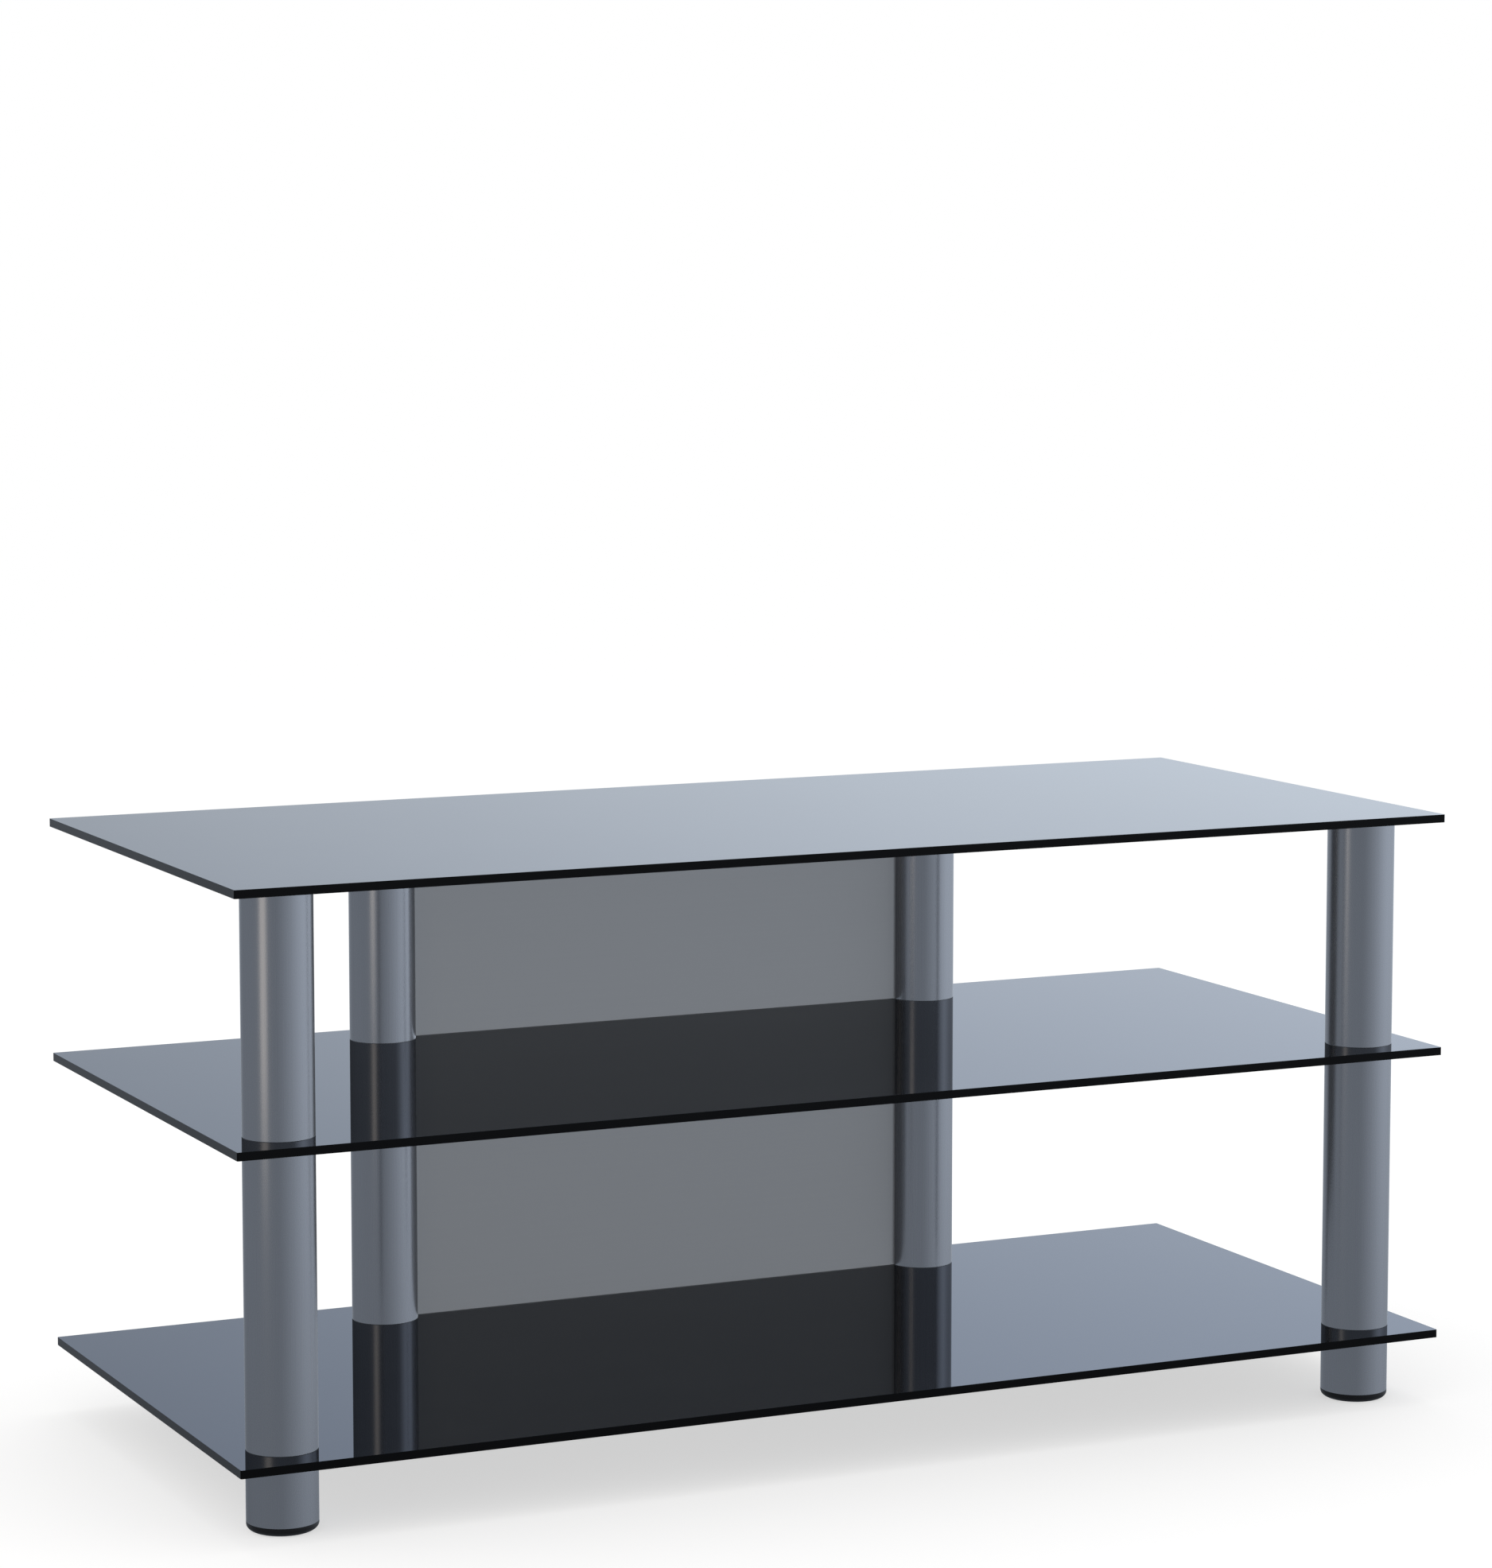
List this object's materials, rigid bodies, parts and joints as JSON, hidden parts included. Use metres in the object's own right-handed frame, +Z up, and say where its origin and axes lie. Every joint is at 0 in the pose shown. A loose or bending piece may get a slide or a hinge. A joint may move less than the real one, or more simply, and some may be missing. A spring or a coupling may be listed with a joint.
{
  "type": "tv stand",
  "caption": "Low TV stand: black glass shelves held between round aluminium columns, with a grey panel between the inset rear columns and screw-levelled feet.",
  "frame": {"origin": "on the floor under the middle of the shelves, feet screwed fully in", "axes": "+X to the right seen from the front, +Y to the back, +Z up"},
  "size_m": [0.95, 0.42, 0.4485],
  "materials": {
    "black_glass": "opaque black, polished",
    "tube_aluminium": "satin anodised",
    "panel_metal": "satin grey",
    "foot_plastic": "moulded, fine matt",
    "insert_plastic": "moulded",
    "plated_steel": "zinc plated",
    "gasket_rubber": "soft, matt"
  },
  "bodies": {
    "stand": {"top_shelf": "black_glass", "middle_shelf": "black_glass", "bottom_shelf": "black_glass", "middle_shelf_gaskets": "gasket_rubber", "middle_shelf_bushes": "insert_plastic", "bottom_shelf_gaskets": "gasket_rubber", "bottom_shelf_bushes": "insert_plastic", "upper_rear_panel": "panel_metal", "lower_rear_panel": "panel_metal", "front_left_upper_tube": "tube_aluminium", "front_left_lower_tube": "tube_aluminium", "front_left_foot_tube": "tube_aluminium", "front_left_tube_inserts": "insert_plastic", "front_left_foot_insert": "insert_plastic", "front_left_joining_studs": "plated_steel", "front_left_bonded_disc": "plated_steel", "front_right_upper_tube": "tube_aluminium", "front_right_lower_tube": "tube_aluminium", "front_right_foot_tube": "tube_aluminium", "front_right_tube_inserts": "insert_plastic", "front_right_foot_insert": "insert_plastic", "front_right_joining_studs": "plated_steel", "front_right_bonded_disc": "plated_steel", "rear_left_upper_tube": "tube_aluminium", "rear_left_lower_tube": "tube_aluminium", "rear_left_foot_tube": "tube_aluminium", "rear_left_tube_inserts": "insert_plastic", "rear_left_foot_insert": "insert_plastic", "rear_left_joining_studs": "plated_steel", "rear_left_bonded_disc": "plated_steel", "rear_right_upper_tube": "tube_aluminium", "rear_right_lower_tube": "tube_aluminium", "rear_right_foot_tube": "tube_aluminium", "rear_right_tube_inserts": "insert_plastic", "rear_right_foot_insert": "insert_plastic", "rear_right_joining_studs": "plated_steel", "rear_right_bonded_disc": "plated_steel"},
    "front_left_foot_pad": {"front_left_foot_pad": "foot_plastic"},
    "front_left_levelling_screw": {"front_left_levelling_screw": "plated_steel"},
    "front_right_foot_pad": {"front_right_foot_pad": "foot_plastic"},
    "front_right_levelling_screw": {"front_right_levelling_screw": "plated_steel"},
    "rear_left_foot_pad": {"rear_left_foot_pad": "foot_plastic"},
    "rear_left_levelling_screw": {"rear_left_levelling_screw": "plated_steel"},
    "rear_right_foot_pad": {"rear_right_foot_pad": "foot_plastic"},
    "rear_right_levelling_screw": {"rear_right_levelling_screw": "plated_steel"}
  },
  "joints": [
    {"name": "front_left_foot_travel", "type": "slide", "parent": "stand", "child": "front_left_foot_pad", "axis": [0, 0, -1], "range_m": [0, 0.009]},
    {"name": "front_left_screw_turn", "type": "hinge", "parent": "front_left_foot_pad", "child": "front_left_levelling_screw", "pos_m": [-0.43, -0.165, 0], "axis": [0, 0, -1], "range_deg": [0, 2160]},
    {"name": "front_right_foot_travel", "type": "slide", "parent": "stand", "child": "front_right_foot_pad", "axis": [0, 0, -1], "range_m": [0, 0.009]},
    {"name": "front_right_screw_turn", "type": "hinge", "parent": "front_right_foot_pad", "child": "front_right_levelling_screw", "pos_m": [0.43, -0.165, 0], "axis": [0, 0, -1], "range_deg": [0, 2160]},
    {"name": "rear_left_foot_travel", "type": "slide", "parent": "stand", "child": "rear_left_foot_pad", "axis": [0, 0, -1], "range_m": [0, 0.009]},
    {"name": "rear_left_screw_turn", "type": "hinge", "parent": "rear_left_foot_pad", "child": "rear_left_levelling_screw", "pos_m": [-0.23, 0.165, 0], "axis": [0, 0, -1], "range_deg": [0, 2160]},
    {"name": "rear_right_foot_travel", "type": "slide", "parent": "stand", "child": "rear_right_foot_pad", "axis": [0, 0, -1], "range_m": [0, 0.009]},
    {"name": "rear_right_screw_turn", "type": "hinge", "parent": "rear_right_foot_pad", "child": "rear_right_levelling_screw", "pos_m": [0.23, 0.165, 0], "axis": [0, 0, -1], "range_deg": [0, 2160]}
  ],
  "couplings": [
    {"joint": "front_left_screw_turn", "follows": "front_left_foot_travel", "rad_per_m": 4188.8},
    {"joint": "front_right_screw_turn", "follows": "front_right_foot_travel", "rad_per_m": 4188.8},
    {"joint": "rear_left_screw_turn", "follows": "rear_left_foot_travel", "rad_per_m": 4188.8},
    {"joint": "rear_right_screw_turn", "follows": "rear_right_foot_travel", "rad_per_m": 4188.8}
  ]
}
